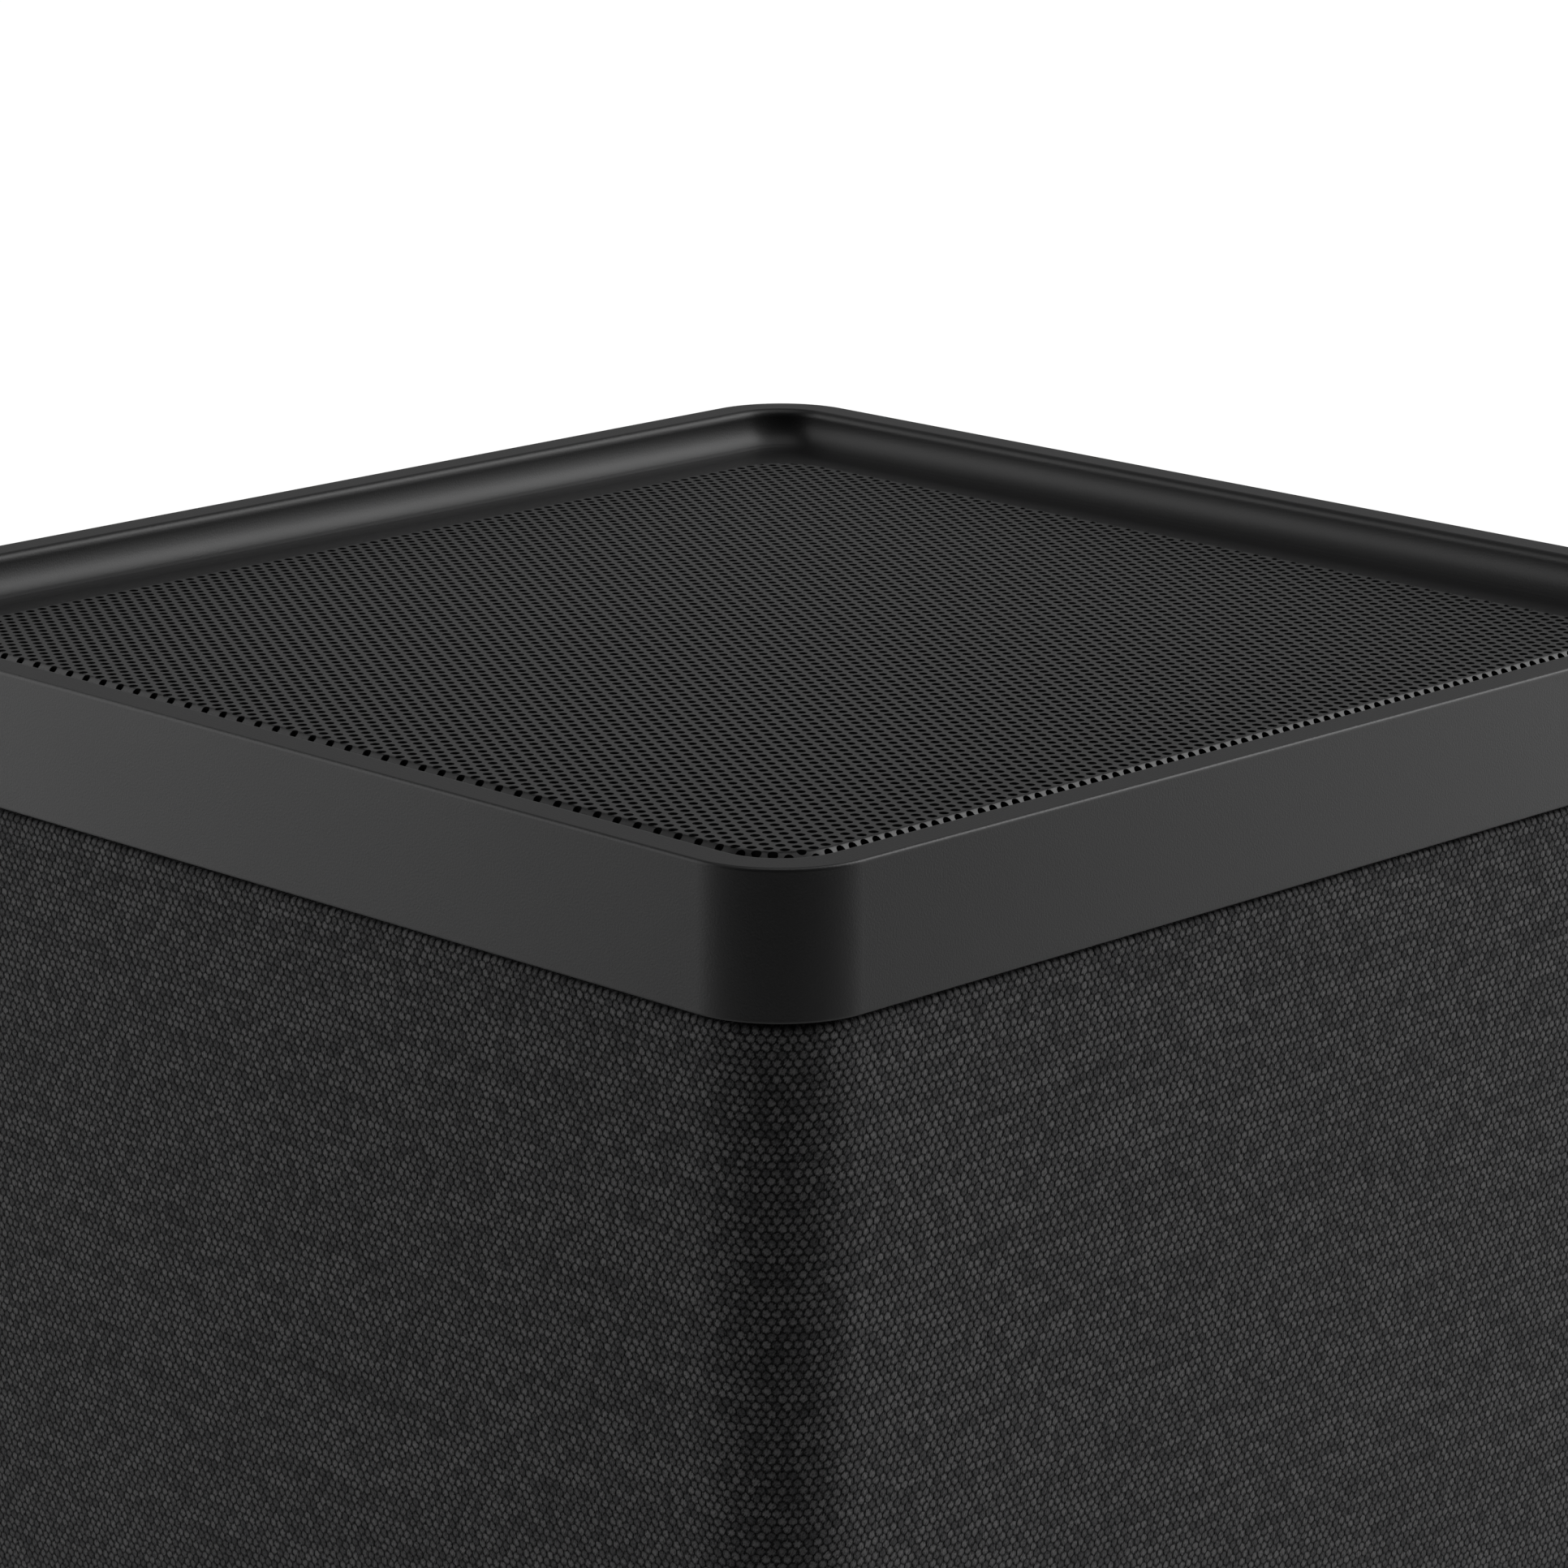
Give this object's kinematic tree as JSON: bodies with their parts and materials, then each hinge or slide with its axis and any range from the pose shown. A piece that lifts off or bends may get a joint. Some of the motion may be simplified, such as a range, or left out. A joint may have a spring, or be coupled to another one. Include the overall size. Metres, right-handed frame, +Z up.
{
  "type": "mesh wifi node",
  "caption": "Square tower wireless node with cloth-wrapped sides, satin black bands, a sunken perforated top grille, rear sockets, a pairing button and a recessed reset pin.",
  "frame": {"origin": "centre of the square footprint, on the surface the feet stand on", "axes": "+Z up, front towards -Y, sockets on the +Y side, +X to the right seen from the front"},
  "size_m": [0.15, 0.15, 0.2],
  "materials": {
    "satin_black": "satin moulded, fine grain",
    "grille_black": "satin powder coat, perforated",
    "charcoal_cloth": "melange knit, staggered bumps",
    "core_black": "matt moulded",
    "rubber": "matt",
    "steel": "plain screw",
    "tin_plate": "pressed can",
    "aluminium": "extruded, satin",
    "board_green": "solder mask",
    "aerial_green": "solder mask",
    "socket_black": "moulded",
    "button_grey": "satin moulded",
    "clear_guide": "translucent light guide",
    "led_white": "moulded lens",
    "thermal_grey": "soft pad",
    "cable_black": "jacketed",
    "label_grey": "matt paper film, blank"
  },
  "bodies": {
    "housing": {"antenna_board_1": "aerial_green", "antenna_board_2": "aerial_green", "antenna_board_3": "aerial_green", "antenna_board_4": "aerial_green", "antenna_cable_1": "cable_black", "antenna_cable_2": "cable_black", "antenna_cable_3": "cable_black", "antenna_cable_4": "cable_black", "antenna_frame": "core_black", "base_frame": "satin_black", "base_plate": "core_black", "base_screw_1": "steel", "base_screw_2": "steel", "base_screw_3": "steel", "base_screw_4": "steel", "board_screw_1": "steel", "board_screw_2": "steel", "board_screw_3": "steel", "board_screw_4": "steel", "core_shell": "core_black", "ethernet_jack_1": "socket_black", "ethernet_jack_2": "socket_black", "fabric_wrap": "charcoal_cloth", "foot_1": "rubber", "foot_2": "rubber", "foot_3": "rubber", "foot_4": "rubber", "frame_screw_1": "steel", "frame_screw_2": "steel", "frame_screw_3": "steel", "frame_screw_4": "steel", "grille_retainer": "core_black", "heatsink": "aluminium", "heatsink_screw_1": "steel", "heatsink_screw_2": "steel", "leg_screw_1": "steel", "leg_screw_2": "steel", "light_guide": "clear_guide", "main_board": "board_green", "power_jack": "socket_black", "processor_shield": "tin_plate", "radio_shield_left": "tin_plate", "radio_shield_right": "tin_plate", "rating_label": "label_grey", "rear_spine": "satin_black", "reset_switch": "socket_black", "retainer_screw_1": "steel", "retainer_screw_2": "steel", "retainer_screw_3": "steel", "retainer_screw_4": "steel", "status_led": "led_white", "sync_switch": "socket_black", "thermal_pad": "thermal_grey", "top_frame": "satin_black", "top_grille": "grille_black"},
    "sync_key": {"sync_button": "button_grey", "sync_plunger": "socket_black"},
    "reset_key": {"reset_button": "button_grey"}
  },
  "joints": [
    {"name": "sync_press", "type": "slide", "parent": "housing", "child": "sync_key", "axis": [0, -1, 0], "range_m": [0, 0.001], "stiffness_N_per_m": 900},
    {"name": "reset_press", "type": "slide", "parent": "housing", "child": "reset_key", "axis": [0, -1, 0], "range_m": [0, 0.0005], "stiffness_N_per_m": 900}
  ]
}
